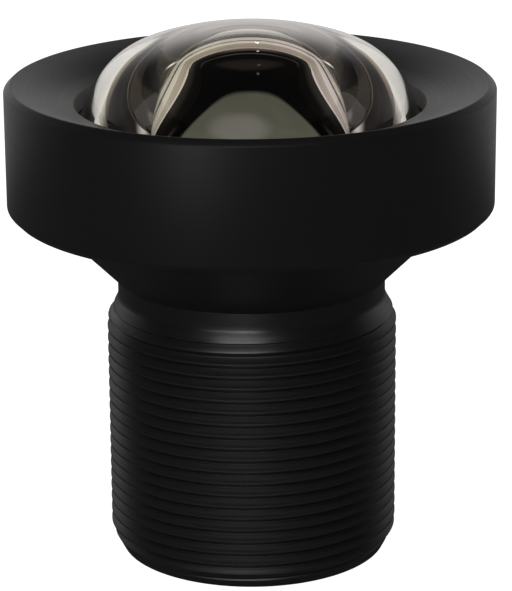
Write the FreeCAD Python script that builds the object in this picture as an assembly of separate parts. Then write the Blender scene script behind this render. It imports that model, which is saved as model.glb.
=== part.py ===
# Board camera lens with a domed wide-angle front glass and an M12 x 0.5 mounting barrel.
# The lens stands on the rear end of its barrel. The origin is the centre of that end face,
# +Z runs along the optical axis towards the front glass, and every size is in millimetres.
# The barrel carries the thread's major diameter as a plain cylinder.

import FreeCAD
import Part
import math
import os

# Outside of the barrel, from its rear end to the underside of the head
lens_length = 19.80
thread_major_diameter = 11.96
rear_bevel_width = 0.45
rear_bevel_height = 0.85
thread_length = 9.80
flare_height = 1.20
neck_diameter = 11.02
cone_top_diameter = 16.75
cone_half_angle = 45.0

# Outside of the head, which is the skirt and the dished face of the front cap
head_diameter = 19.90
head_height = 5.30
rim_diameter = 19.38
rim_bevel_height = 0.24
head_bottom_bevel = 0.31
dish_inner_diameter = 14.26
dish_depth = 0.83
cap_lip_height = 0.77
cap_thread_diameter = 18.10
cap_thread_clearance = 0.02
cap_closing_gap = 0.10

# Front glass: a tall dome over a flange that the cap clamps
dome_diameter = 13.84
dome_height = 4.40
dome_equator_depth = 2.17
dome_shoulder_radius = 3.91
front_flange_diameter = 15.20
front_flange_thickness = 0.70
front_cavity_radius = 4.10
front_centre_thickness = 0.80
glass_washer_thickness = 0.10
glass_washer_overhang = 0.05
glass_clearance = 0.02
spacer_margin = 0.12

# Seal ring under the flange of the front glass
seal_mean_diameter = 14.00
seal_width = 0.62
seal_height = 0.50
seal_corner_radius = 0.18
seal_groove_clearance = 0.05

# Front group: bore in the head, shield, spacer and second glass
front_bore_diameter = 10.44
shield_thickness = 0.08
front_shield_hole_diameter = 8.50
front_spacer_height = 0.70
second_edge_thickness = 2.40
second_front_radius = 25.00
second_front_clear_diameter = 8.60
second_rear_radius = 4.20
second_rear_clear_diameter = 7.20
ledge_relief = 0.05

# Stem bore, the shoulder inside it, and the pieces in front of the shoulder
stem_bore_diameter = 9.24
shoulder_height = 0.55
shoulder_hole_diameter = 5.20
third_edge_thickness = 1.30
third_front_radius = 9.50
third_rear_radius = 7.20
third_clear_diameter = 7.40
second_spacer_height = 1.50

# Rear group, loaded from the rear end against the shoulder
stop_thickness = 0.12
stop_hole_diameter = 2.60
stop_spacer_height = 0.75
fourth_edge_thickness = 1.05
fourth_front_radius = 6.80
fourth_clear_diameter = 6.00
cemented_radius = 5.20
cemented_clear_diameter = 7.00
fifth_edge_thickness = 1.75
fifth_rear_radius = 14.00
fifth_clear_diameter = 7.00
rear_spacer_height = 0.90
sixth_edge_thickness = 1.20
sixth_front_radius = 8.40
sixth_rear_radius = 15.00
sixth_clear_diameter = 7.40

# Rear retaining ring and the filter glued into the rear recess
retaining_ring_height = 0.95
spanner_slot_width = 0.80
spanner_slot_depth = 0.50
filter_diameter = 9.84
filter_thickness = 0.70
filter_recess_depth = 1.00

ORIGIN = FreeCAD.Vector(0, 0, 0)
UP = FreeCAD.Vector(0, 0, 1)

# Heights above the rear end face, worked out from the sizes above
rim_z = lens_length
head_bottom_z = rim_z - head_height
dish_edge_z = rim_z - dish_depth
cap_underside_z = dish_edge_z - cap_lip_height
front_flange_top_z = cap_underside_z - glass_washer_thickness
front_seat_z = front_flange_top_z - front_flange_thickness
dome_equator_z = rim_z - dome_equator_depth
dome_top_z = dome_equator_z + dome_height

front_shield_z = front_seat_z - shield_thickness
second_front_z = front_shield_z - front_spacer_height
second_rear_z = second_front_z - second_edge_thickness
third_front_z = second_rear_z - second_spacer_height
shoulder_front_z = third_front_z - third_edge_thickness
shoulder_rear_z = shoulder_front_z - shoulder_height

stop_rear_z = shoulder_rear_z - stop_thickness
fourth_front_z = stop_rear_z - stop_spacer_height
fourth_rear_z = fourth_front_z - fourth_edge_thickness
fifth_rear_z = fourth_rear_z - fifth_edge_thickness
sixth_front_z = fifth_rear_z - rear_spacer_height
sixth_rear_z = sixth_front_z - sixth_edge_thickness
rear_shield_z = sixth_rear_z - shield_thickness
retaining_ring_rear_z = rear_shield_z - retaining_ring_height

stem_glass_radius = stem_bore_diameter / 2 - glass_clearance


def point(radius, height):
    """Point of an outline in the XZ plane, at a radius from the axis and a height."""
    return FreeCAD.Vector(radius, 0, height)


def line(start, end):
    """Straight edge between two (radius, height) pairs."""
    return Part.LineSegment(point(*start), point(*end)).toShape()


def lines(*corners):
    """Straight edges through several (radius, height) pairs."""
    return [line(start, end) for start, end in zip(corners, corners[1:])]


def arc(start, middle, end):
    """Circular edge through three (radius, height) pairs."""
    return Part.Arc(point(*start), point(*middle), point(*end)).toShape()


def turned(edges):
    """Solid made by turning a closed outline once about the optical axis."""
    face = Part.Face(Part.Wire(edges))
    solid = face.revolve(ORIGIN, UP, 360)
    return Part.makeSolid(solid) if solid.ShapeType == "Shell" else solid


def ring(outer_radius, inner_radius, bottom, top):
    """Plain turned ring with a rectangular section."""
    corners = [
        (inner_radius, bottom),
        (outer_radius, bottom),
        (outer_radius, top),
        (inner_radius, top),
        (inner_radius, bottom),
    ]
    return turned(lines(*corners))


def sag(radius, distance):
    """Depth of a spherical surface at a distance from its axis."""
    return radius - math.sqrt(radius * radius - distance * distance)


def surface(radius, clear_radius, edge_z, bulge):
    """Glass surface from the axis to its flat rim; bulge is +1 towards the front, -1 away."""
    vertex_z = edge_z + bulge * sag(radius, clear_radius)
    half = clear_radius / 2
    half_z = vertex_z - bulge * sag(radius, half)
    return (0, vertex_z), (half, half_z), (clear_radius, edge_z)


def glass(edge_radius, front_z, rear_z, front, rear):
    """Round glass with a flat rim on each side. front and rear are (radius, clear radius, bulge)."""
    front_vertex, front_half, front_end = surface(front[0], front[1], front_z, front[2])
    rear_vertex, rear_half, rear_end = surface(rear[0], rear[1], rear_z, rear[2])
    edges = [arc(front_vertex, front_half, front_end)]
    edges += lines(front_end, (edge_radius, front_z), (edge_radius, rear_z), rear_end)
    edges += [arc(rear_end, rear_half, rear_vertex), line(rear_vertex, front_vertex)]
    return turned(edges)


def make_lens_barrel():
    """One turned aluminium piece: threaded stem, neck, cone, head and the stepped bore."""
    thread_radius = thread_major_diameter / 2
    neck_radius = neck_diameter / 2
    cone_radius = cone_top_diameter / 2
    cone_bottom_z = head_bottom_z - (cone_radius - neck_radius) / math.tan(math.radians(cone_half_angle))
    head_radius = cap_thread_diameter / 2 - cap_thread_clearance
    head_top_z = front_flange_top_z - cap_closing_gap
    front_cup_radius = front_flange_diameter / 2 + glass_clearance
    front_bore_radius = front_bore_diameter / 2
    stem_bore_radius = stem_bore_diameter / 2
    ledge_z = second_rear_z - ledge_relief
    recess_radius = filter_diameter / 2 + glass_clearance

    # The flare from neck to thread is two equal arcs that meet halfway
    flare_top_z = thread_length + flare_height
    flare_step = thread_radius - neck_radius
    flare_middle = (neck_radius + flare_step / 2, thread_length + flare_height / 2)
    flare_arc_radius = (flare_height ** 2 + flare_step ** 2) / (4 * flare_step)
    quarter_step = sag(flare_arc_radius, flare_height / 4)
    upper_quarter = (neck_radius + quarter_step, flare_top_z - flare_height / 4)
    lower_quarter = (thread_radius - quarter_step, thread_length + flare_height / 4)

    edges = lines(
        (thread_radius - rear_bevel_width, 0),
        (thread_radius, rear_bevel_height),
        (thread_radius, thread_length),
    )
    edges.append(arc((thread_radius, thread_length), lower_quarter, flare_middle))
    edges.append(arc(flare_middle, upper_quarter, (neck_radius, flare_top_z)))
    edges += lines(
        (neck_radius, flare_top_z),
        (neck_radius, cone_bottom_z),
        (cone_radius, head_bottom_z),
        (head_radius, head_bottom_z),
        (head_radius, head_top_z),
        (front_cup_radius, head_top_z),
        (front_cup_radius, front_seat_z),
        (front_bore_radius, front_seat_z),
        (front_bore_radius, ledge_z),
        (stem_bore_radius, ledge_z),
        (stem_bore_radius, shoulder_front_z),
        (shoulder_hole_diameter / 2, shoulder_front_z),
        (shoulder_hole_diameter / 2, shoulder_rear_z),
        (stem_bore_radius, shoulder_rear_z),
        (stem_bore_radius, filter_recess_depth),
        (recess_radius, filter_recess_depth),
        (recess_radius, 0),
        (thread_radius - rear_bevel_width, 0),
    )
    groove_half_width = seal_width / 2 + seal_groove_clearance
    groove = ring(
        seal_mean_diameter / 2 + groove_half_width,
        seal_mean_diameter / 2 - groove_half_width,
        front_seat_z - seal_height,
        front_seat_z,
    )
    return turned(edges).cut(groove)


def make_front_cap():
    """Turned ring with a dished face. Its skirt screws over the head and its lip holds the dome."""
    head_radius = head_diameter / 2
    skirt_bore_radius = cap_thread_diameter / 2
    dish_radius = dish_inner_diameter / 2
    return turned(lines(
        (skirt_bore_radius, head_bottom_z),
        (head_radius - head_bottom_bevel, head_bottom_z),
        (head_radius, head_bottom_z + head_bottom_bevel),
        (head_radius, rim_z - rim_bevel_height),
        (rim_diameter / 2, rim_z),
        (dish_radius, dish_edge_z),
        (dish_radius, cap_underside_z),
        (skirt_bore_radius, cap_underside_z),
        (skirt_bore_radius, head_bottom_z),
    ))


def make_glass_washer():
    """Thin black washer between the cap's lip and the flange of the front glass."""
    inner_radius = dish_inner_diameter / 2 - glass_washer_overhang
    return ring(front_flange_diameter / 2, inner_radius, front_flange_top_z, cap_underside_z)


def make_front_element():
    """Front glass: a dome with a flat crown and round shoulders, on a flange, hollowed by a cavity."""
    dome_radius = dome_diameter / 2
    flange_radius = front_flange_diameter / 2

    # The crown arc is centred on the axis and runs smoothly into the shoulder arc
    shoulder_centre = dome_radius - dome_shoulder_radius
    rise = dome_height - dome_shoulder_radius
    crown_radius = dome_shoulder_radius + (shoulder_centre ** 2 + rise ** 2) / (2 * rise)
    crown_centre_z = dome_top_z - crown_radius
    join_angle = math.atan2(dome_equator_z - crown_centre_z, shoulder_centre)

    def crown_point(angle):
        return crown_radius * math.cos(angle), crown_centre_z + crown_radius * math.sin(angle)

    def shoulder_point(angle):
        radius = shoulder_centre + dome_shoulder_radius * math.cos(angle)
        return radius, dome_equator_z + dome_shoulder_radius * math.sin(angle)

    top = (0, dome_top_z)
    join = crown_point(join_angle)
    equator = (dome_radius, dome_equator_z)
    edges = [arc(top, crown_point((math.pi / 2 + join_angle) / 2), join)]
    edges.append(arc(join, shoulder_point(join_angle / 2), equator))
    edges += lines(equator, (dome_radius, front_seat_z), (0, front_seat_z), top)
    flange = Part.makeCylinder(flange_radius, front_flange_thickness, point(0, front_seat_z))

    cavity_centre_z = dome_top_z - front_centre_thickness - front_cavity_radius
    sphere = Part.makeSphere(front_cavity_radius, point(0, cavity_centre_z))
    well = Part.makeCylinder(front_cavity_radius, lens_length, point(0, cavity_centre_z - lens_length))
    return turned(edges).fuse(flange).cut([sphere, well]).removeSplitter()


def make_seal_ring():
    """Rubber ring pressed flat between its groove and the flange of the front glass."""
    inner = seal_mean_diameter / 2 - seal_width / 2
    outer = seal_mean_diameter / 2 + seal_width / 2
    plain = ring(outer, inner, front_seat_z - seal_height, front_seat_z)
    circles = [edge for edge in plain.Edges if edge.Curve.TypeId == "Part::GeomCircle"]
    return plain.makeFillet(seal_corner_radius, circles)


def make_front_shield():
    """Thin black washer that stops stray light behind the rim of the front cavity."""
    outer_radius = front_bore_diameter / 2 - glass_clearance
    return ring(outer_radius, front_shield_hole_diameter / 2, front_shield_z, front_seat_z)


def make_front_spacer():
    """Turned ring that carries the front glass's load to the second glass."""
    outer_radius = front_bore_diameter / 2 - glass_clearance
    inner_radius = second_front_clear_diameter / 2 + spacer_margin
    return ring(outer_radius, inner_radius, second_front_z, front_shield_z)


def make_second_element():
    """Second glass: a meniscus that bulges into the cavity of the front glass."""
    outer_radius = front_bore_diameter / 2 - glass_clearance
    front = (second_front_radius, second_front_clear_diameter / 2, 1)
    rear = (second_rear_radius, second_rear_clear_diameter / 2, 1)
    return glass(outer_radius, second_front_z, second_rear_z, front, rear)


def make_second_spacer():
    """Turned ring between the second and the third glass."""
    inner_radius = third_clear_diameter / 2 + spacer_margin
    return ring(stem_glass_radius, inner_radius, third_front_z, second_rear_z)


def make_third_element():
    """Third glass: convex on both sides, seated on the front of the shoulder."""
    front = (third_front_radius, third_clear_diameter / 2, 1)
    rear = (third_rear_radius, shoulder_hole_diameter / 2, -1)
    return glass(stem_glass_radius, third_front_z, shoulder_front_z, front, rear)


def make_aperture_stop():
    """Thin black disc whose round hole sets the fixed aperture."""
    return ring(stem_glass_radius, stop_hole_diameter / 2, stop_rear_z, shoulder_rear_z)


def make_stop_spacer():
    """Turned ring between the stop and the doublet."""
    inner_radius = fourth_clear_diameter / 2 + spacer_margin
    return ring(stem_glass_radius, inner_radius, fourth_front_z, stop_rear_z)


def make_fourth_element():
    """Front half of the cemented doublet, convex on both sides."""
    front = (fourth_front_radius, fourth_clear_diameter / 2, 1)
    rear = (cemented_radius, cemented_clear_diameter / 2, -1)
    return glass(stem_glass_radius, fourth_front_z, fourth_rear_z, front, rear)


def make_fifth_element():
    """Rear half of the cemented doublet, hollow at the front and at the rear."""
    front = (cemented_radius, cemented_clear_diameter / 2, -1)
    rear = (fifth_rear_radius, fifth_clear_diameter / 2, 1)
    return glass(stem_glass_radius, fourth_rear_z, fifth_rear_z, front, rear)


def make_rear_spacer():
    """Turned ring between the doublet and the sixth glass."""
    inner_radius = sixth_clear_diameter / 2 + spacer_margin
    return ring(stem_glass_radius, inner_radius, sixth_front_z, fifth_rear_z)


def make_sixth_element():
    """Last glass, convex on both sides."""
    front = (sixth_front_radius, sixth_clear_diameter / 2, 1)
    rear = (sixth_rear_radius, sixth_clear_diameter / 2, -1)
    return glass(stem_glass_radius, sixth_front_z, sixth_rear_z, front, rear)


def make_rear_shield():
    """Thin black washer between the last glass and the retaining ring."""
    inner_radius = sixth_clear_diameter / 2 + spacer_margin
    return ring(stem_glass_radius, inner_radius, rear_shield_z, sixth_rear_z)


def make_retaining_ring():
    """Threaded ring that locks the rear group, with two slots for a spanner."""
    inner_radius = sixth_clear_diameter / 2 + spacer_margin
    body = ring(stem_glass_radius, inner_radius, retaining_ring_rear_z, rear_shield_z)
    slot_corner = FreeCAD.Vector(-stem_bore_diameter / 2, -spanner_slot_width / 2, retaining_ring_rear_z)
    slots = Part.makeBox(stem_bore_diameter, spanner_slot_width, spanner_slot_depth, slot_corner)
    return body.cut(slots)


def make_infrared_filter():
    """Flat filter glass glued against the step of the rear recess."""
    base = point(0, filter_recess_depth - filter_thickness)
    return Part.makeCylinder(filter_diameter / 2, filter_thickness, base)


PIECES = {
    "lens_barrel": make_lens_barrel,
    "front_cap": make_front_cap,
    "glass_washer": make_glass_washer,
    "front_element": make_front_element,
    "seal_ring": make_seal_ring,
    "front_shield": make_front_shield,
    "front_spacer": make_front_spacer,
    "second_element": make_second_element,
    "second_spacer": make_second_spacer,
    "third_element": make_third_element,
    "aperture_stop": make_aperture_stop,
    "stop_spacer": make_stop_spacer,
    "fourth_element": make_fourth_element,
    "fifth_element": make_fifth_element,
    "rear_spacer": make_rear_spacer,
    "sixth_element": make_sixth_element,
    "rear_shield": make_rear_shield,
    "rear_retaining_ring": make_retaining_ring,
    "infrared_filter": make_infrared_filter,
}

os.makedirs("parts", exist_ok=True)
for name, make in PIECES.items():
    shape = make()
    box = shape.BoundBox
    shape.exportStep("parts/" + name + ".step")
    print(name, len(shape.Solids), round(shape.Volume, 3), round(box.ZMin, 3), round(box.ZMax, 3))
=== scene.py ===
# Looks of a board camera lens: a domed wide-angle front glass in a dished round head, on a slim
# barrel with a fine thread. Lengths are written in millimetres and turned into metres by mm.
import math

import bpy
from mathutils import Matrix, Vector


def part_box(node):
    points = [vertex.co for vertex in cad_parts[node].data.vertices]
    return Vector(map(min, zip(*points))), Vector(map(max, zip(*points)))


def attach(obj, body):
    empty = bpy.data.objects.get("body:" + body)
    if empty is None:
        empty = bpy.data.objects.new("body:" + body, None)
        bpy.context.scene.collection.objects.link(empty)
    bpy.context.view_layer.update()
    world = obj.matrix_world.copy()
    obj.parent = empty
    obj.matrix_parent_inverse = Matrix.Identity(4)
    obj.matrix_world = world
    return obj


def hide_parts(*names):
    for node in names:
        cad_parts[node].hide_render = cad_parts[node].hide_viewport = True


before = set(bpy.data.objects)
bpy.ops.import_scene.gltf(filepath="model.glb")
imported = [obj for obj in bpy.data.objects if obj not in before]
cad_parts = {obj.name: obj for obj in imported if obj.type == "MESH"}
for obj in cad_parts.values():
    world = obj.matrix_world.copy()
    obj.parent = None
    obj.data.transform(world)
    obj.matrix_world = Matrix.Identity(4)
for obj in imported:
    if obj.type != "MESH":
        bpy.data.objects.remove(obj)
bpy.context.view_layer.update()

mm = 0.001

# Camera: in front of the lens and a little above its rim, tipped down, as the photograph shows it.
# The photograph is 591 pixels high, and the lens fills nearly all of it.
rim_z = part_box("front_cap")[1].z
camera_distance = 109.75 * mm
camera_above_rim = 25.43 * mm
camera_side_step = 0.18 * mm
camera_tip = math.radians(17.48)
camera_roll = math.radians(-0.42)
photo_height_px = 591
focal_px = 2782

camera_data = bpy.data.cameras.new("camera")
camera_data.sensor_width = 36
camera_data.lens = camera_data.sensor_width * focal_px / photo_height_px
camera_data.clip_start = 5 * mm
camera = bpy.data.objects.new("camera", camera_data)
bpy.context.scene.collection.objects.link(camera)
camera.matrix_world = (
    Matrix.Translation((camera_side_step, -camera_distance, rim_z + camera_above_rim))
    @ Matrix.Rotation(math.pi / 2 - camera_tip, 4, "X")
    @ Matrix.Rotation(camera_roll, 4, "Z")
)
bpy.context.scene.camera = camera
bpy.context.scene.view_settings.view_transform = "Standard"


# Studio: a white table in a bright, even room. To the camera all of it is plain white, with a faint
# shadow. The glass and the metal mirror a dim room instead, with a bright band low behind the lens,
# a softbox in front and a dark near table, which give the dome its arcs and the metal its edges.
table_size = 600 * mm
room_light = 0.80
seen_white = 1.0
band_light = 0.75
band_side_loss = 0.38
band_through_glass = 0.72
dim_mirrored = 0.02
dim_through_glass = 0.03
softbox_direction = (-0.12, -0.765, 0.633)


# Shader sheets: every finish below is written on one. A Value stands for a socket, and arithmetic
# on it adds Math nodes, so a pattern reads as a plain expression.
class Value:
    def __init__(self, sheet, socket):
        self.sheet = sheet
        self.socket = socket

    def math(self, operation, left, right=0.0):
        return self.sheet.add("Math", {"operation": operation}, {0: left, 1: right})

    def __add__(self, other):
        return self.math("ADD", self, other)

    def __radd__(self, other):
        return self.math("ADD", other, self)

    def __sub__(self, other):
        return self.math("SUBTRACT", self, other)

    def __rsub__(self, other):
        return self.math("SUBTRACT", other, self)

    def __mul__(self, other):
        return self.math("MULTIPLY", self, other)

    def __rmul__(self, other):
        return self.math("MULTIPLY", other, self)

    def __truediv__(self, other):
        return self.math("DIVIDE", self, other)

    def __pow__(self, other):
        return self.math("POWER", self, other)

    def above(self, other):
        return self.math("GREATER_THAN", self, other)

    def clamped(self):
        return self.sheet.add("Clamp", {}, {"Value": self})


class Sheet:
    def __init__(self, owner):
        owner.use_nodes = True
        self.tree = owner.node_tree
        self.tree.nodes.clear()

    def feed(self, socket, value):
        if isinstance(value, Value):
            self.tree.links.new(value.socket, socket)
        else:
            socket.default_value = value

    def add(self, kind, settings, values, output=0):
        node = self.tree.nodes.new("ShaderNode" + kind)
        for name, setting in settings.items():
            setattr(node, name, setting)
        for name, value in values.items():
            self.feed(node.inputs[name], value)
        return Value(self, node.outputs[output])

    def ray(self, kind):
        return self.add("LightPath", {}, {}, kind)

    def place(self, kind="Object"):
        return self.add("TexCoord", {}, {}, kind)

    def split(self, place):
        """The X, Y and Z of a place or a direction."""
        node = self.add("SeparateXYZ", {}, {0: place}).socket.node
        return [Value(self, socket) for socket in node.outputs]

    def facing(self):
        """0 where a surface is looked at squarely, 1 where it is seen edge on."""
        return self.add("LayerWeight", {}, {"Blend": 0.5}, "Facing")

    def noise(self, place, scale, detail):
        return self.add("TexNoise", {}, {"Vector": place, "Scale": scale, "Detail": detail}, "Fac")

    def ease(self, value, low, high):
        """Smooth rise from 0 at low to 1 at high."""
        settings = {"interpolation_type": "SMOOTHSTEP"}
        return self.add("MapRange", settings, {"Value": value, "From Min": low, "From Max": high})

    def mix(self, factor, first, second):
        sockets = {"Factor": factor, 6: first, 7: second}
        return self.add("Mix", {"data_type": "RGBA"}, sockets, 2)

    def finish(self, shader, kind="Material"):
        node = self.tree.nodes.new("ShaderNodeOutput" + kind)
        self.tree.links.new(shader.socket, node.inputs["Surface"])


def grey(level):
    return (level, level, level, 1)


black = grey(0)
white = grey(1)

room = bpy.data.worlds.new("room")
bpy.context.scene.world = room
sheet = Sheet(room)
to_camera = sheet.ray("Is Camera Ray")
to_gloss = sheet.ray("Is Glossy Ray")
to_glass = sheet.ray("Is Transmission Ray")
after_diffuse = sheet.ray("Diffuse Depth").above(0.5)
across, depth, height = sheet.split(sheet.place("Generated"))
behind = sheet.ease(depth, -0.25, 0.40)
above_table = sheet.ease(height, -0.03, 0.08)
through = sheet.ease(height, 0.90, 0.66) * above_table * behind * band_through_glass + dim_through_glass
sides = sheet.ease(across, 0.1, 0.7) + sheet.ease(across, -0.35, -0.75)
band = sheet.ease(height, 0.64, 0.24) * sheet.ease(depth, 0.05, 0.55)
band = band * (sides * -band_side_loss + band_light)
softbox_x, softbox_y, softbox_z = softbox_direction
towards_softbox = across * softbox_x + depth * softbox_y + height * softbox_z
mirrored = band + sheet.ease(towards_softbox, 0.92, 0.99) + dim_mirrored
sharp = (to_gloss + to_glass).clamped() * (1 - after_diffuse)
strength = room_light + sharp * (mirrored + to_glass * (through - mirrored) - room_light)
strength = strength + to_camera * (seen_white - strength)
sheet.finish(sheet.add("Background", {}, {"Color": white, "Strength": strength}), "World")

# The table glows, so that only a share of the shadow shows on it
table_albedo = 0.86
table_brightness = 1.3
table_glow = 0.75
mirrored_far = 0.42
mirrored_near = 0.04
far_through_glass = 0.03
near_blend = (75 * mm, 38 * mm)
far_blend = (115 * mm, 160 * mm)

bpy.ops.mesh.primitive_plane_add(size=table_size, location=(0, 0, 0))
table = bpy.context.object
table.name = "table"
table_paint = bpy.data.materials.new("white_table")
sheet = Sheet(table_paint)
to_camera = sheet.ray("Is Camera Ray")
to_gloss = sheet.ray("Is Glossy Ray")
to_glass = sheet.ray("Is Transmission Ray")
seen = (to_camera + to_gloss + to_glass).clamped()
reflected = to_gloss * (1 - to_glass)
x, y = sheet.split(sheet.place())[:2]
near = sheet.ease(y, *near_blend)
far = sheet.ease((x * x + y * y) ** 0.5, *far_blend) * to_glass
lit = sheet.add("BsdfDiffuse", {}, {"Color": grey(table_albedo)})
mirrored_paper = sheet.mix(near, grey(mirrored_far), grey(mirrored_near))
paper = sheet.mix(reflected, white, mirrored_paper)
paper = sheet.mix(far, paper, grey(far_through_glass))
glow = sheet.add("Emission", {}, {"Color": paper, "Strength": table_brightness})
glow_share = seen * table_glow + (reflected + far) * (1 - table_glow)
sheet.finish(sheet.add("MixShader", {}, {"Fac": glow_share, 1: lit, 2: glow}))
table.data.materials.append(table_paint)


def lamp(name, power, size, place, aim_height):
    """Square lamp at a place in millimetres, aimed at a height in millimetres on the lens's axis."""
    data = bpy.data.lights.new(name, "AREA")
    data.energy = power
    data.size = size * mm
    light = bpy.data.objects.new(name, data)
    bpy.context.scene.collection.objects.link(light)
    light.location = [number * mm for number in place]
    direction = Vector((0, 0, aim_height * mm)) - light.location
    light.rotation_euler = direction.to_track_quat("-Z", "Y").to_euler()
    light.visible_camera = False
    light.visible_transmission = False
    return light


key = lamp("softbox", power=0.25, size=120, place=(-90, -160, 190), aim_height=12)
key.visible_glossy = False
lamp("strip", power=0.018, size=50, place=(-70, -150, 25), aim_height=15)

# Two lamps, one low and one high, put the soft highlights on the neck and the flare under it. They
# light the barrel alone.
glint_lights = bpy.data.collections.new("glint_lights")
low_glint = lamp("low_glint", power=0.045, size=50, place=(-14, -135, 16), aim_height=11)
high_glint = lamp("high_glint", power=0.13, size=110, place=(-24, -135, 140), aim_height=10)
for light in (low_glint, high_glint):
    light.light_linking.receiver_collection = glint_lights

# Four small ceiling lamps behind the lens show as dots on the front glass: rise in degrees, power
ceiling_lamps = [(32, 0.0014), (39, 0.0003), (50, 0.00015), (65, 0.0006)]
ceiling_lamp_radius = 1.3 * mm
ceiling_distance = 250 * mm
side_step_per_degree = 0.15 * mm
dome_y = -3 * mm
dome_z = 22 * mm
for number, (degrees, power) in enumerate(ceiling_lamps):
    data = bpy.data.lights.new("ceiling_lamp_%d" % number, "POINT")
    data.energy = power
    data.shadow_soft_size = ceiling_lamp_radius
    light = bpy.data.objects.new(data.name, data)
    bpy.context.scene.collection.objects.link(light)
    angle = math.radians(degrees)
    back = dome_y + ceiling_distance * math.cos(angle)
    up = dome_z + ceiling_distance * math.sin(angle)
    light.location = (degrees * side_step_per_degree, back, up)
    light.visible_camera = False
    light.visible_transmission = False


# Front cap: the ring that is the head's side and dished face, screwed over the barrel's head. It is
# turned from aluminium bar, its edges are broken with a light cut, and it is dyed black by anodising.
turning_steps = 192
merge_gap = 0.002 * mm


def deselect():
    if bpy.context.object and bpy.context.object.mode != "OBJECT":
        bpy.ops.object.mode_set(mode="OBJECT")
    bpy.ops.object.select_all(action="DESELECT")


def draw(name, outline):
    """Wire of vertices along an outline of (radius, height) pairs, left in edit mode."""
    deselect()
    bpy.ops.mesh.primitive_plane_add(size=mm)
    piece = bpy.context.object
    piece.name = name
    piece.data.name = name
    bpy.ops.object.mode_set(mode="EDIT")
    bpy.ops.mesh.select_mode(type="VERT")
    bpy.ops.mesh.select_all(action="SELECT")
    bpy.ops.mesh.merge(type="CENTER")
    bpy.ops.transform.translate(value=(outline[0][0], 0, outline[0][1]))
    for (radius, height), (next_radius, next_height) in zip(outline, outline[1:]):
        step = (next_radius - radius, 0, next_height - height)
        bpy.ops.mesh.extrude_vertices_move(TRANSFORM_OT_translate={"value": step})
    bpy.ops.mesh.select_all(action="SELECT")
    return piece


def turn(name, outline, steps=turning_steps):
    """Outline turned a full circle about the lens's axis."""
    piece = draw(name, outline)
    bpy.ops.mesh.spin(steps=steps, angle=math.tau, center=(0, 0, 0), axis=(0, 0, 1))
    bpy.ops.mesh.select_all(action="SELECT")
    bpy.ops.mesh.remove_doubles(threshold=merge_gap)
    bpy.ops.mesh.normals_make_consistent(inside=False)
    bpy.ops.object.mode_set(mode="OBJECT")
    return piece


def smooth(angle):
    """Smooth shading of the active piece, except at edges sharper than the angle."""
    bpy.ops.object.shade_smooth_by_angle(angle=math.radians(angle))


def put_on(piece, paint, slot, *nodes):
    """Paint of a piece, which stands in for its nodes on the lens's one body. The slot is not used."""
    piece.data.materials.clear()
    piece.data.materials.append(paint)
    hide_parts(*nodes)
    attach(piece, "root")


# Levels and tints of the painted light thrown by the front glass, then the roughness of anodised metal
broad_light = 0.66
narrow_light = 0.65
stray_light = 0.012
left_light = (1.0, 0.96, 0.88, 1)
right_light = (1.0, 0.92, 0.95, 1)
side_blend = (-4 * mm, 4 * mm)
lathe_roughness = 0.10
grain_roughness = 0.14
polish = 0.09
grazing_roughness = 0.25


def thrown_light(sheet, share, slant, reach):
    """Painted light that the front glass throws on what stands behind it, brightest straight behind."""
    x, y = sheet.split(sheet.place())[:2]
    straight = y / (x * x + y * y) ** 0.5
    square = sheet.ease(sheet.facing(), slant, slant * 0.8)
    broad = sheet.ease(straight, -0.35, -0.15) * broad_light
    narrow = sheet.ease(straight, reach, 0.92) * narrow_light + stray_light
    tint = sheet.mix(sheet.ease(x, *side_blend), left_light, right_light)
    return sheet.mix((narrow + square * (broad - narrow)) * share, black, tint)


def anodised(name, tone, sheen, groove_depth, glow_below=0, polished=None):
    """Black anodised aluminium with turning marks round the axis.

    Below the height glow_below, the emission paints the light that the front glass throws on the bore,
    and a painted sheen on the dish near the lip where it is seen edge on. Between the two heights
    of polished, the metal is a little smoother.
    """
    paint = bpy.data.materials.new(name)
    sheet = Sheet(paint)
    place = sheet.place()
    x, y, z = sheet.split(place)
    radius = (x * x + y * y) ** 0.5
    lathe_place = sheet.add("CombineXYZ", {}, {0: radius / mm, 1: z / mm})
    lathe = sheet.noise(lathe_place, scale=9.0, detail=3.0)
    grain = sheet.noise(place, scale=14 / mm, detail=2.0)
    cloud = sheet.noise(place, scale=0.35 / mm, detail=3.0)
    low = (tone * 0.8, tone * 0.8, tone * 0.84, 1)
    high = (tone * 1.25, tone * 1.24, tone * 1.22, 1)
    colour = sheet.mix(cloud * 0.5 + grain * 0.5, low, high)
    roughness = sheen + (lathe - 0.5) * lathe_roughness + (grain - 0.5) * grain_roughness
    if polished:
        low_z, high_z = polished
        blend = 0.2 * mm
        smoother = sheet.ease(z, low_z, low_z + blend) * sheet.ease(z, high_z, high_z - blend)
        grazed = sheet.ease(sheet.facing(), 0.5, 0.95)
        roughness = roughness - smoother * polish + grazed * grazing_roughness
    height = lathe * 0.6 + grain * 0.12
    bumps = {"Height": height, "Strength": 0.35, "Distance": groove_depth}
    normal = sheet.add("Bump", {}, bumps)
    glow = {}
    # Painted light: the bore wall under the dish, and the dish near the lip where it is seen edge on,
    # glow
    # with the light that the front glass throws
    if glow_below:
        edge_blend = 0.02 * mm
        wall = sheet.ease(radius, dish_radius + 0.1 * mm, dish_radius + edge_blend)
        wall = wall * sheet.ease(z, glow_below + edge_blend, glow_below - edge_blend)
        skimming = sheet.ease(sheet.facing(), 0.46, 0.60)
        lip = sheet.ease(radius, dish_radius + 0.75 * mm, dish_radius + 0.25 * mm) * skimming * 0.7
        lip = lip * z.above(glow_below - edge_blend)
        glow["Emission Color"] = thrown_light(sheet, wall + lip * (1 - wall), slant=0.18, reach=0.52)
        glow["Emission Strength"] = 1.0
    shader = sheet.add("BsdfPrincipled", {}, {
        "Base Color": colour,
        "Roughness": roughness,
        "Specular IOR Level": 0.45,
        "Normal": normal,
        **glow,
    })
    sheet.finish(shader)
    return paint


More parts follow.
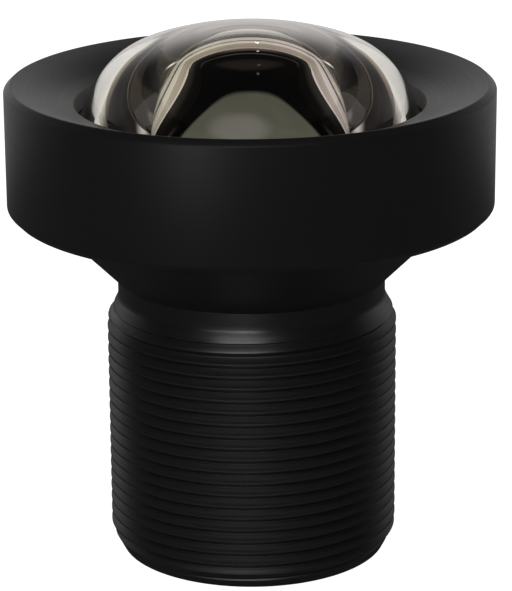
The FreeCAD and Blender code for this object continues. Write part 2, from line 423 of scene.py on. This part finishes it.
cap_low, cap_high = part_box("front_cap")
washer_low, washer_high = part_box("glass_washer")
head_radius = cap_high.x
head_bottom_z = cap_low.z
rim_radius = 9.69 * mm
rim_bevel = 0.24 * mm
bottom_bevel = 0.31 * mm
dish_radius = 7.13 * mm
dish_depth = 0.83 * mm
cap_bore_radius = 9.05 * mm
cap_underside_z = washer_high.z
broken_edge = 0.05 * mm
sharp_angle = math.radians(20)

front_cap = turn("front_cap_dressed", [
    (cap_bore_radius, head_bottom_z),
    (head_radius - bottom_bevel, head_bottom_z),
    (head_radius, head_bottom_z + bottom_bevel),
    (head_radius, rim_z - rim_bevel),
    (rim_radius, rim_z),
    (dish_radius, rim_z - dish_depth),
    (dish_radius, cap_underside_z),
    (cap_bore_radius, cap_underside_z),
    (cap_bore_radius, head_bottom_z),
])
bpy.ops.object.mode_set(mode="EDIT")
bpy.ops.mesh.select_mode(type="EDGE")
bpy.ops.mesh.select_all(action="DESELECT")
bpy.ops.mesh.edges_select_sharp(sharpness=sharp_angle)
bpy.ops.mesh.bevel(offset=broken_edge, segments=2, affect="EDGES")
bpy.ops.object.mode_set(mode="OBJECT")
smooth(angle=30)
# The cap's paint carries painted light on its bore and on the dish near its lip
cap_paint = anodised(
    "cap_anodised",
    tone=0.0038,
    sheen=0.42,
    groove_depth=0.004 * mm,
    glow_below=rim_z - dish_depth,
)
put_on(front_cap, cap_paint, "cap_anodised", "front_cap")


# Lens barrel: one piece turned from black anodised aluminium, with the head that carries the cap, the
# cone, the neck and the M12 stem. Its 0.5 mm thread is cut on a lathe and runs out at the flare.
barrel_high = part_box("lens_barrel")[1]
barrel_steps = 160
thread_radius = 5.98 * mm
thread_pitch = 0.50 * mm
thread_depth = 0.30 * mm
thread_length = 9.80 * mm
flare_height = 1.20 * mm
neck_radius = 5.51 * mm
cone_radius = 8.375 * mm
rear_bevel_width = 0.45 * mm
rear_bevel_height = 0.85 * mm
stem_clearance = 0.02 * mm
seal_clearance = 0.05 * mm
seal_groove_width = 0.72 * mm
ledge_gap = 0.05 * mm
third_edge_thickness = 1.30 * mm
root_rounding = 0.04 * mm

spacer_low, spacer_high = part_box("front_spacer")
seal_low, seal_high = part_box("seal_ring")
filter_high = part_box("infrared_filter")[1]
stop_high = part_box("aperture_stop")[1]
second_spacer_low, second_spacer_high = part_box("second_spacer")
front_seat_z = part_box("front_element")[0].z
ledge_z = second_spacer_high.z - ledge_gap
shoulder_front_z = second_spacer_low.z - third_edge_thickness
shoulder_hole_radius = 2.60 * mm
cup_radius = washer_high.x + stem_clearance
front_bore_radius = spacer_high.x + stem_clearance
stem_bore_radius = stop_high.x + stem_clearance
recess_radius = filter_high.x + stem_clearance
seal_outer = seal_high.x + seal_clearance
seal_inner = seal_outer - seal_groove_width
cone_bottom_z = head_bottom_z - (cone_radius - neck_radius)
neck_join_z = (thread_length + flare_height + cone_bottom_z) / 2


def stem_envelope(height):
    """Largest radius of the stem at a height: rear bevel, thread, flare and neck."""
    if height < rear_bevel_height:
        return thread_radius - rear_bevel_width * (1 - height / rear_bevel_height)
    rise = min(max((height - thread_length) / flare_height, 0), 1)
    return thread_radius + (neck_radius - thread_radius) * rise * rise * (3 - 2 * rise)


# The profile of one pitch: a flat crest, a flank, a rounded root and a flank, as radius and share of
# the pitch
root_radius = thread_radius - thread_depth
root_side_radius = root_radius + root_rounding
pitch_profile = [
    (thread_radius, 0),
    (thread_radius, 0.14),
    (root_side_radius, 0.44),
    (root_radius, 0.56),
    (root_side_radius, 0.68),
    (thread_radius, 1),
]
stem = draw("lens_barrel_dressed", [
    (radius, (share - 1.5) * thread_pitch) for radius, share in pitch_profile
])
bpy.ops.object.mode_set(mode="OBJECT")
screw = stem.modifiers.new("thread", "SCREW")
screw.screw_offset = thread_pitch
screw.iterations = math.ceil(neck_join_z / thread_pitch) + 3
screw.steps = barrel_steps
screw.render_steps = barrel_steps
bpy.ops.object.modifier_apply(modifier=screw.name)

# The turns past both ends are pressed flat, and the crests are turned down to the flare and the bevel
for vertex in stem.data.vertices:
    height = min(max(vertex.co.z, 0), neck_join_z)
    radius = math.hypot(vertex.co.x, vertex.co.y)
    new_radius = min(radius, stem_envelope(height))
    vertex.co.x *= new_radius / radius
    vertex.co.y *= new_radius / radius
    vertex.co.z = height

rest = turn("barrel_rest", [
    (neck_radius, neck_join_z),
    (neck_radius, cone_bottom_z),
    (cone_radius, head_bottom_z),
    (cap_bore_radius - stem_clearance, head_bottom_z),
    (cap_bore_radius - stem_clearance, barrel_high.z),
    (cup_radius, barrel_high.z),
    (cup_radius, front_seat_z),
    (seal_outer, front_seat_z),
    (seal_outer, seal_low.z),
    (seal_inner, seal_low.z),
    (seal_inner, front_seat_z),
    (front_bore_radius, front_seat_z),
    (front_bore_radius, ledge_z),
    (stem_bore_radius, ledge_z),
    (stem_bore_radius, shoulder_front_z),
    (shoulder_hole_radius, shoulder_front_z),
    (shoulder_hole_radius, stop_high.z),
    (stem_bore_radius, stop_high.z),
    (stem_bore_radius, filter_high.z),
    (recess_radius, filter_high.z),
    (recess_radius, 0),
    (thread_radius - rear_bevel_width, 0),
], barrel_steps)
deselect()
rest.select_set(True)
stem.select_set(True)
bpy.context.view_layer.objects.active = stem
bpy.ops.object.join()
bpy.ops.object.mode_set(mode="EDIT")
bpy.ops.mesh.select_all(action="SELECT")
bpy.ops.mesh.remove_doubles(threshold=merge_gap)
bpy.ops.mesh.dissolve_degenerate(threshold=merge_gap)
bpy.ops.mesh.normals_make_consistent(inside=False)
bpy.ops.object.mode_set(mode="OBJECT")
smooth(angle=28)
barrel_paint = anodised(
    "barrel_anodised",
    tone=0.0036,
    sheen=0.40,
    groove_depth=0.003 * mm,
    polished=(thread_length + 0.2 * mm, cone_bottom_z + 0.2 * mm),
)
put_on(stem, barrel_paint, "barrel_anodised", "lens_barrel")
glint_lights.objects.link(stem)


# Front glass: a coated meniscus with a flat crown, round shoulders and a flange, hollowed behind by a
# deep spherical cavity. The flange's edge is ground and thinly inked, and its foot is inked brown.
# The cap's lip and the washer hold it on the rubber ring.
glass_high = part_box("front_element")[1]
dome_radius = 6.92 * mm
dome_height = 4.40 * mm
shoulder_radius = 3.91 * mm
cavity_radius = 4.10 * mm
centre_thickness = 0.80 * mm
flange_radius = glass_high.x
flange_top_z = washer_low.z
dome_equator_z = glass_high.z - dome_height
glass_arc_steps = 24


def arc(centre, radius, first, last, steps):
    """Points on a circle arc between two angles, as (radius, height) pairs."""
    angles = [first + (last - first) * step / steps for step in range(steps + 1)]
    return [(centre[0] + radius * math.cos(a), centre[1] + radius * math.sin(a)) for a in angles]


seat_gap = 0.01 * mm
shoulder_centre = dome_radius - shoulder_radius
rise = dome_height - shoulder_radius
crown_radius = shoulder_radius + (shoulder_centre ** 2 + rise ** 2) / (2 * rise)
crown_centre_z = glass_high.z - crown_radius
join_angle = math.atan2(dome_equator_z - crown_centre_z, shoulder_centre)
flange_angle = math.asin((flange_top_z - seat_gap - dome_equator_z) / shoulder_radius)
cavity_centre_z = glass_high.z - centre_thickness - cavity_radius

outline = arc((0, crown_centre_z), crown_radius, math.pi / 2, join_angle, glass_arc_steps)
shoulder = (shoulder_centre, dome_equator_z)
outline += arc(shoulder, shoulder_radius, join_angle, flange_angle, glass_arc_steps)[1:]
glass_foot_z = front_seat_z + seat_gap
ground_radius = 4.55 * mm
outline += [
    (flange_radius, flange_top_z - seat_gap),
    (flange_radius, glass_foot_z),
    (ground_radius, glass_foot_z),
]
cavity_rim_angle = math.asin((glass_foot_z - cavity_centre_z) / cavity_radius)
outline += arc((0, cavity_centre_z), cavity_radius, cavity_rim_angle, math.pi / 2, 2 * glass_arc_steps)
front_glass = turn("front_glass_dressed", outline)
glass_smoothing = 25
smooth(glass_smoothing)


def glass(name, index, tint, reflection, reflection_tint):
    """Polished glass with a coating that tints and weakens its reflection."""
    paint = bpy.data.materials.new(name)
    sheet = Sheet(paint)
    blotch_noise = sheet.noise(sheet.place(), scale=0.8 / mm, detail=4.0)
    shader = sheet.add("BsdfPrincipled", {}, {
        "Base Color": (*tint, 1),
        "Roughness": (blotch_noise - 0.5) * 0.02,
        "IOR": index,
        "Transmission Weight": 1.0,
        "Specular IOR Level": reflection,
        "Specular Tint": (*reflection_tint, 1),
    })
    sheet.finish(shader)
    return paint


def matte_black(name, tone, grain_size, gloss=0.25):
    """Black ink, film or rubber with a fine grain."""
    paint = bpy.data.materials.new(name)
    sheet = Sheet(paint)
    grain = sheet.noise(sheet.place(), scale=1 / grain_size, detail=3.0)
    colour = sheet.mix(grain, grey(tone * 0.6), (tone * 1.4, tone * 1.35, tone * 1.3, 1))
    normal = sheet.add("Bump", {}, {"Height": grain, "Strength": 0.4, "Distance": grain_size / 4})
    shader = sheet.add("BsdfPrincipled", {}, {
        "Base Color": colour,
        "Roughness": 0.75 + (grain - 0.5) * 0.2,
        "Specular IOR Level": gloss,
        "Normal": normal,
    })
    sheet.finish(shader)
    return paint


def ground_glass(name, tone):
    """Finely ground and thinly inked glass, with painted light where the front glass throws light on
    it.
    """
    paint = bpy.data.materials.new(name)
    sheet = Sheet(paint)
    grain = sheet.noise(sheet.place(), scale=3 / mm, detail=4.0)
    dim_tone = (tone[0] * 0.75, tone[1] * 0.70, tone[2] * 0.62, 1)
    shader = sheet.add("BsdfPrincipled", {}, {
        "Base Color": sheet.mix(grain, dim_tone, (*tone, 1)),
        "Roughness": 0.6 + (grain - 0.5) * 0.2,
        "Specular IOR Level": 0.0,
        "Emission Color": thrown_light(sheet, grain * 0.3 + 0.85, slant=0.073, reach=0.70),
        "Emission Strength": 1.0,
    })
    sheet.finish(shader)
    return paint


def ink_rim(piece, ink, is_inked):
    """Second material of a glass, on the faces that the test of radius, height and normal picks."""
    piece.data.materials.append(ink)
    for face in piece.data.polygons:
        radius = math.hypot(face.center.x, face.center.y)
        if is_inked(radius, face.center.z, face.normal):
            face.material_index = 1


rim_ink = matte_black("rim_ink", tone=0.012, grain_size=0.05 * mm, gloss=0)
coated_glass = glass(
    "coated_front_glass",
    index=1.6,
    tint=(0.97, 0.93, 0.85),
    reflection=0.4,
    reflection_tint=(1, 0.92, 0.92),
)
put_on(front_glass, coated_glass, "front_glass", "front_element")
ground_edge = ground_glass("ground_edge", tone=(0.05, 0.045, 0.04))
ink_rim(front_glass, ground_edge, lambda radius, height, normal: radius > flange_radius - seat_gap)

# The foot's ink lies behind polished glass, so it mirrors the dome's inside in a brown tone
dark_brown = (0.30, 0.24, 0.17, 1)
pale_brown = (0.46, 0.40, 0.30, 1)
painted_foot_light_colour = (1.0, 0.92, 0.90, 1)
foot_light_ahead = 0.20
foot_light_around = 0.06
foot_ink = bpy.data.materials.new("foot_ink")
sheet = Sheet(foot_ink)
place = sheet.place()
x, y = sheet.split(place)[:2]
patches = sheet.noise(place, scale=1.5 / mm, detail=4.0)
# Painted sheen: the emission lights the foot where it is seen squarely, most of all straight behind
upright = sheet.ease(sheet.facing(), 0.32, 0.20)
ahead = sheet.ease(y / (x * x + y * y) ** 0.5, 0.2, 1.0)
shine = upright * (ahead * foot_light_ahead + foot_light_around)
sheet.finish(sheet.add("BsdfPrincipled", {}, {
    "Base Color": sheet.mix(patches, dark_brown, pale_brown),
    "Roughness": 0.08 + patches * 0.06,
    "Metallic": 1.0,
    "Emission Color": sheet.mix(shine, black, painted_foot_light_colour),
    "Emission Strength": 1.0,
}))
front_glass.data.materials.append(foot_ink)
for face in front_glass.data.polygons:
    radius = math.hypot(face.center.x, face.center.y)
    if face.center.z < glass_foot_z + seat_gap and radius > ground_radius:
        face.material_index = 2


# Second glass: a coated meniscus with a nearly flat front, inked black outside a clear middle, which
# sits on the second spacer under the front spacer. Seen from low down, the clear middle shows a painted
# reflection of the room as a grey-green disc inside the black ring, and the ring carries painted light.
second_low, second_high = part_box("second_element")
second_front_radius = 25.00 * mm
second_front_clear = 4.30 * mm
second_rear_radius = 4.20 * mm
second_rear_clear = 3.60 * mm
second_front_z = spacer_low.z
second_ink_radius = 3.20 * mm
second_rear_z = second_low.z


def sag(radius, distance):
    """Depth of a sphere's surface at a distance from the axis."""
    return radius - math.sqrt(radius * radius - distance * distance)


def dished(clear, radius, edge_z):
    """Points of a spherical surface that bulges to the front, from the axis to its edge."""
    vertex_z = edge_z + sag(radius, clear)
    places = [clear * step / glass_arc_steps for step in range(glass_arc_steps + 1)]
    return [(place, vertex_z - sag(radius, place)) for place in places]


def lens_outline(edge, front, rear):
    """Outline of a glass from its front vertex round the rim to its rear vertex."""
    rim = [(edge, front[2]), (edge, rear[2])]
    return dished(*front) + rim + dished(*rear)[::-1]


inner_index = 1.7
inner_tint = (0.80, 0.84, 0.78)
inner_glass = glass(
    "coated_inner_glass",
    index=inner_index,
    tint=inner_tint,
    reflection=0.5,
    reflection_tint=(0.88, 1.0, 0.80),
)
second = turn("second_glass_dressed", lens_outline(
    second_high.x,
    (second_front_clear, second_front_radius, second_front_z - seat_gap),
    (second_rear_clear, second_rear_radius, second_rear_z + seat_gap),
))
smooth(glass_smoothing)
# Shape, levels and colours of the painted reflection and the painted ring light on the second glass
disc_radius = 3.55 * mm
disc_slope = 0.34
disc_roundness = 3.5
disc_light = 0.085
disc_light_front = 0.012
painted_disc_patchiness = 0.03
ring_light_ahead = 0.065
ring_light_around = 0.018
ring_light_floor = 0.012
edge_light = 0.03
painted_disc_colour = (0.98, 1.0, 0.80, 1)
painted_bore_light_colour = (1.0, 0.86, 0.76, 1)


def second_front(name, base):
    """Front of the second glass: base, with painted light and a painted reflection for a low viewpoint.
    """
    paint = bpy.data.materials.new(name)
    sheet = Sheet(paint)
    place = sheet.place()
    x, y = sheet.split(place)[:2]
    radius = (x * x + y * y) ** 0.5
    blotch_noise = sheet.noise(place, scale=1.2 / mm, detail=3.0)
    facing = sheet.facing()
    slope = 1 - facing
    oval = (slope / disc_slope) ** disc_roundness + (radius / disc_radius) ** disc_roundness
    level = sheet.ease(y, 2.4 * mm, 0.4 * mm) * disc_light_front + disc_light + (blotch_noise - 0.5) * painted_disc_patchiness
    level = sheet.ease(oval, 1.10, 0.92) * level
    steep = sheet.ease(facing, 0.575, 0.525) * sheet.ease(facing, 0.20, 0.35)
    ahead = sheet.ease(y / radius, 0.85, 1.0) * ring_light_ahead + ring_light_around
    ring = steep * (sheet.ease(radius, 2.6 * mm, 4.2 * mm) * ahead + ring_light_floor)
    edge = sheet.ease(radius, 4.05 * mm, 4.25 * mm) * sheet.ease(y / radius, 0.6, 0.3) * edge_light
    ring_light = sheet.mix(ring + edge, black, painted_bore_light_colour)
    low_light = sheet.mix(level, ring_light, painted_disc_colour)
    shader = sheet.add("BsdfPrincipled", {}, {
        **base,
        "Emission Color": ring_light,
        "Emission Strength": 1.0,
    })
    # A painted reflection: no gloss, only the low light as emission
    painted_reflection = sheet.add("BsdfPrincipled", {}, {
        "Base Color": black,
        "Roughness": 0.3,
        "Specular IOR Level": 0.0,
        "Emission Color": low_light,
        "Emission Strength": 1.0,
    })
    low_view = sheet.ease(facing, 0.38, 0.48)
    sheet.finish(sheet.add("MixShader", {}, {"Fac": low_view, 1: shader, 2: painted_reflection}))
    return paint


put_on(second, inner_glass, "inner_glass", "second_element")
ink_rim(second, rim_ink, lambda radius, height, normal: (
    radius > second_rear_clear and (height < second_rear_z + 2 * seat_gap or normal.z < 0.5)))
clear_glass = {
    "Base Color": (*inner_tint, 1),
    "Roughness": 0.0,
    "IOR": inner_index,
    "Transmission Weight": 1.0,
}
black_ink = {
    "Base Color": grey(0.004),
    "Roughness": 0.5,
    "Specular IOR Level": 0.0,
}
second.data.materials.append(second_front("second_clear_front", clear_glass))
second.data.materials.append(second_front("second_inked_front", black_ink))
for face in second.data.polygons:
    if face.normal.z > 0.5 and face.center.z > second_front_z - 2 * seat_gap:
        is_clear = math.hypot(face.center.x, face.center.y) < second_ink_radius
        face.material_index = 2 if is_clear else 3


# Front spacer and front shield: a turned ring between the two front glasses, and the thin washer on
# it. Both are black, and painted light on their bore stands for some of the light that the front glass
# throws.
bore_light_ahead = 0.09
bore_light_around = 0.02


def bore_glow(name, tone):
    """Black metal or film whose bore carries faint painted light, most of all straight behind the
    glass.
    """
    paint = bpy.data.materials.new(name)
    sheet = Sheet(paint)
    place = sheet.place()
    x, y, z = sheet.split(place)
    grain = sheet.noise(place, scale=9 / mm, detail=3.0)
    facing = sheet.facing()
    slanted = sheet.ease(facing, 0.06, 0.12) * sheet.ease(facing, 0.55, 0.25)
    slanted = slanted * sheet.ease(z, spacer_low.z + 0.2 * mm, spacer_low.z + 0.5 * mm)
    ahead = sheet.ease(y / (x * x + y * y) ** 0.5, 0.85, 1.0) * bore_light_ahead + bore_light_around
    shader = sheet.add("BsdfPrincipled", {}, {
        "Base Color": sheet.mix(grain, grey(tone * 0.7), grey(tone * 1.3)),
        "Roughness": 0.6 + (grain - 0.5) * 0.2,
        "Specular IOR Level": 0.1,
        "Emission Color": sheet.mix(slanted * ahead, black, painted_bore_light_colour),
        "Emission Strength": 1.0,
    })
    sheet.finish(shader)
    return paint


shield_low, shield_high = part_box("front_shield")
shield_hole_radius = 4.25 * mm
spacer_bore_radius = second_front_clear + 0.12 * mm
ring_tone = 0.01
rings = [
    ("front_shield", shield_low, shield_high, shield_hole_radius, "shield_film", "shield_film"),
    ("front_spacer", spacer_low, spacer_high, spacer_bore_radius, "spacer_black", "inner_anodised"),
]
for node, low, high, bore_radius, paint, slot in rings:
    bottom_z = low.z + seat_gap / 2
    top_z = high.z - seat_gap / 2
    washer = turn(node + "_dressed", [
        (bore_radius, bottom_z),
        (high.x, bottom_z),
        (high.x, top_z),
        (bore_radius, top_z),
        (bore_radius, bottom_z),
    ])
    smooth(glass_smoothing)
    put_on(washer, bore_glow(paint, ring_tone), slot, node)


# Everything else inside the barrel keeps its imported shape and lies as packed: turned black spacers
# and the threaded rear ring, thin black washers and the stop, the rubber seal, the glasses of the
# rear group and the filter glass behind them.
spacer_paint = anodised("inner_anodised", tone=0.012, sheen=0.5, groove_depth=0.003 * mm)
film_paint = matte_black("black_film", tone=0.010, grain_size=0.04 * mm)
rubber_paint = matte_black("seal_rubber", tone=0.018, grain_size=0.08 * mm)
filter_paint = glass(
    "filter_glass",
    index=1.52,
    tint=(0.80, 0.92, 0.92),
    reflection=0.6,
    reflection_tint=(1.0, 0.7, 0.8),
)
kept_finishes = {
    "second_spacer": spacer_paint,
    "stop_spacer": spacer_paint,
    "rear_spacer": spacer_paint,
    "rear_retaining_ring": spacer_paint,
    "glass_washer": film_paint,
    "aperture_stop": film_paint,
    "rear_shield": film_paint,
    "seal_ring": rubber_paint,
    "third_element": inner_glass,
    "fourth_element": inner_glass,
    "fifth_element": inner_glass,
    "sixth_element": inner_glass,
    "infrared_filter": filter_paint,
}
for node, paint in kept_finishes.items():
    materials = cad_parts[node].data.materials
    materials.clear()
    materials.append(paint)
